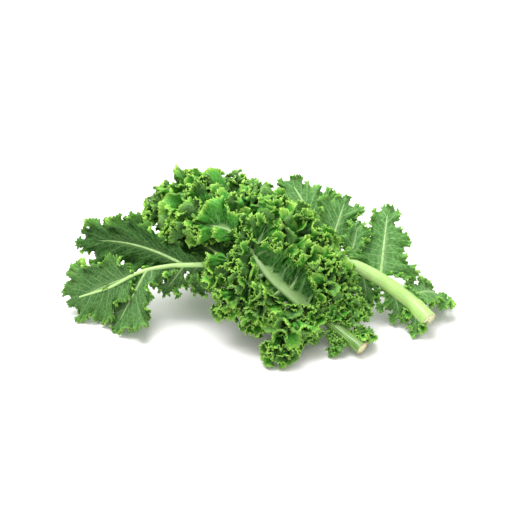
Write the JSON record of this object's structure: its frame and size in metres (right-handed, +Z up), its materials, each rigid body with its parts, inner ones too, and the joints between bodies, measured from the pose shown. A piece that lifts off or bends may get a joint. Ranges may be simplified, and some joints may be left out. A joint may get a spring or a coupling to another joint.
{
  "type": "curly kale bunch",
  "caption": "Loose bunch of cut curly kale lying down: long pale stalks with midribs, lobed blades with tightly frilled margins, one underside up, one upper side up across it.",
  "frame": {"origin": "on the table, under the middle of the bunch's bounding box", "axes": "+Z up; +X along the bunch towards the cut end of the back leaf, the one lying underside up; +Y away from the front of the bunch, where the front leaf's cut end lies"},
  "size_m": [0.3056, 0.1582, 0.0959],
  "materials": {
    "stalk": "waxy pale green stalk, smooth, faintly ribbed",
    "blade_upper": "waxy deep green upper leaf surface, yellower at the frilled margin",
    "blade_under": "dull grey-green leaf underside with raised pale veins"
  },
  "bodies": {
    "root": {"back_leaf_stalk": "stalk", "back_leaf_blade_far": "blade_under", "back_leaf_blade_near": "blade_under", "back_leaf_tip_lobe": "blade_under", "back_leaf_leaflet_far_1": "blade_under", "back_leaf_leaflet_far_2": "blade_under", "back_leaf_leaflet_far_3": "blade_under", "back_leaf_leaflet_far_4": "blade_under", "back_leaf_leaflet_near_1": "blade_under", "back_leaf_leaflet_near_2": "blade_under", "back_leaf_leaflet_near_3": "blade_under", "front_leaf_stalk": "stalk", "front_leaf_blade_left": "blade_upper", "front_leaf_blade_right": "blade_upper", "front_leaf_tip_lobe": "blade_upper", "front_leaf_leaflet_left_1": "blade_upper", "front_leaf_leaflet_left_2": "blade_upper", "front_leaf_leaflet_right_1": "blade_upper", "front_leaf_leaflet_right_2": "blade_upper", "front_leaf_leaflet_right_3": "blade_upper", "front_leaf_leaflet_right_4": "blade_upper"}
  },
  "joints": []
}
